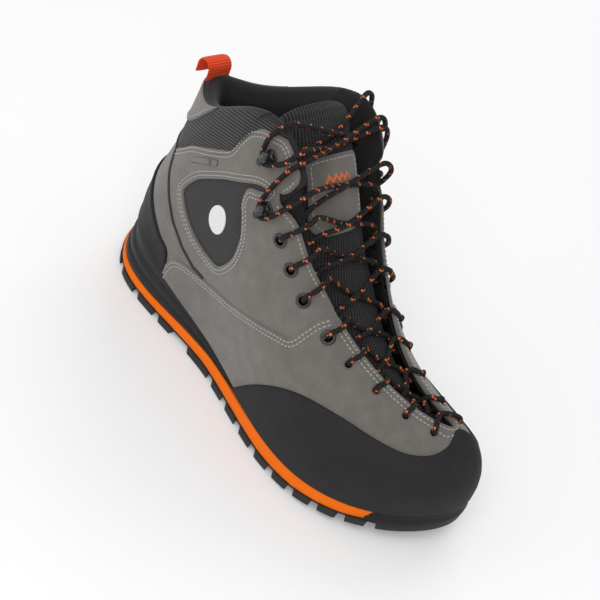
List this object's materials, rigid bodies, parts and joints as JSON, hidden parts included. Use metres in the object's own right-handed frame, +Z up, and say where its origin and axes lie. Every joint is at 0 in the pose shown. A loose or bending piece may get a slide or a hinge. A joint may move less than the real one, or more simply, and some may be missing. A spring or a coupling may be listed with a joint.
{
  "type": "hiking boot",
  "caption": "Right-foot hiking boot: lugged rubber sole, suede and mesh upper with rubber toe rand, padded collar and tongue, eyelets, hooks and threaded lace.",
  "frame": {"origin": "on the ground, on the tread's centre lug, halfway along the sole", "axes": "+X from heel to toe, +Y towards the wearer's left (the inner side of this right boot), +Z up"},
  "size_m": [0.2977, 0.1095, 0.1946],
  "materials": {
    "outsole_rubber": "matte moulded rubber, lugged",
    "midsole_foam": "orange moulded foam, fine satin grain",
    "stabiliser_rubber": "dark grey moulded rubber, satin",
    "shank_steel": "spring steel strip, bare",
    "board": "pressed fibre board",
    "footbed_felt": "dark grey textile over foam",
    "rand_rubber": "smooth matte rubber sheet",
    "cap_rubber": "smooth matte moulded rubber",
    "stiffener": "thermoformed sheet",
    "suede": "grey suede, short nap",
    "window_mesh": "black woven mesh",
    "badge_film": "white heat-pressed film",
    "collar_mesh": "black woven mesh over padding",
    "collar_foam": "foam, covered",
    "lining_textile": "black brushed textile",
    "loop_webbing": "red-orange woven webbing",
    "tongue_mesh": "black ribbed mesh",
    "motif_thread": "orange embroidery thread",
    "eyelet_metal": "gunmetal, semi gloss",
    "hook_metal": "black lacquered steel",
    "aglet_plastic": "black plastic tip",
    "lace_cord": "black round braid with orange flecks"
  },
  "bodies": {
    "boot": {"outsole": "outsole_rubber", "midsole": "midsole_foam", "stabiliser": "stabiliser_rubber", "shank": "shank_steel", "lasting_board": "board", "heel_cap": "cap_rubber", "toe_rand": "rand_rubber", "toe_puff": "stiffener", "heel_counter": "stiffener", "vamp": "suede", "lateral_quarter": "suede", "medial_quarter": "suede", "back_strip": "suede", "lateral_window": "window_mesh", "medial_window": "window_mesh", "lateral_badge": "badge_film", "medial_badge": "badge_film", "lateral_tag": "suede", "medial_tag": "suede", "collar_band": "collar_mesh", "collar_padding": "collar_foam", "lining": "lining_textile", "back_tab": "suede", "eyelet_l1": "eyelet_metal", "eyelet_l2": "eyelet_metal", "eyelet_l3": "eyelet_metal", "eyelet_l4": "eyelet_metal", "eyelet_m1": "eyelet_metal", "eyelet_m2": "eyelet_metal", "eyelet_m3": "eyelet_metal", "eyelet_m4": "eyelet_metal", "hook_lateral_low": "hook_metal", "hook_lateral_top": "hook_metal", "hook_medial_low": "hook_metal", "hook_medial_top": "hook_metal", "lace": "lace_cord", "aglet_1": "aglet_plastic", "aglet_2": "aglet_plastic"},
    "tongue": {"tongue_shell": "tongue_mesh", "tongue_padding": "collar_foam", "tongue_lining": "lining_textile", "tongue_patch": "suede", "tongue_motif": "motif_thread"},
    "insole": {"footbed": "footbed_felt"},
    "loop": {"pull_loop": "loop_webbing"}
  },
  "joints": [
    {"name": "tongue_press", "type": "hinge", "parent": "boot", "child": "tongue", "pos_m": [0.109, 0.006, 0.072], "axis": [0, -1, 0], "range_deg": [0, 6], "stiffness_Nm_per_rad": 0.6},
    {"name": "footbed_lift", "type": "hinge", "parent": "boot", "child": "insole", "pos_m": [0.139, 0.025, 0.034], "axis": [0, 1, 0], "range_deg": [0, 8]},
    {"name": "loop_fold", "type": "hinge", "parent": "boot", "child": "loop", "pos_m": [-0.1401, 0, 0.1476], "axis": [0, -1, 0], "range_deg": [0, 60], "stiffness_Nm_per_rad": 0.02}
  ]
}
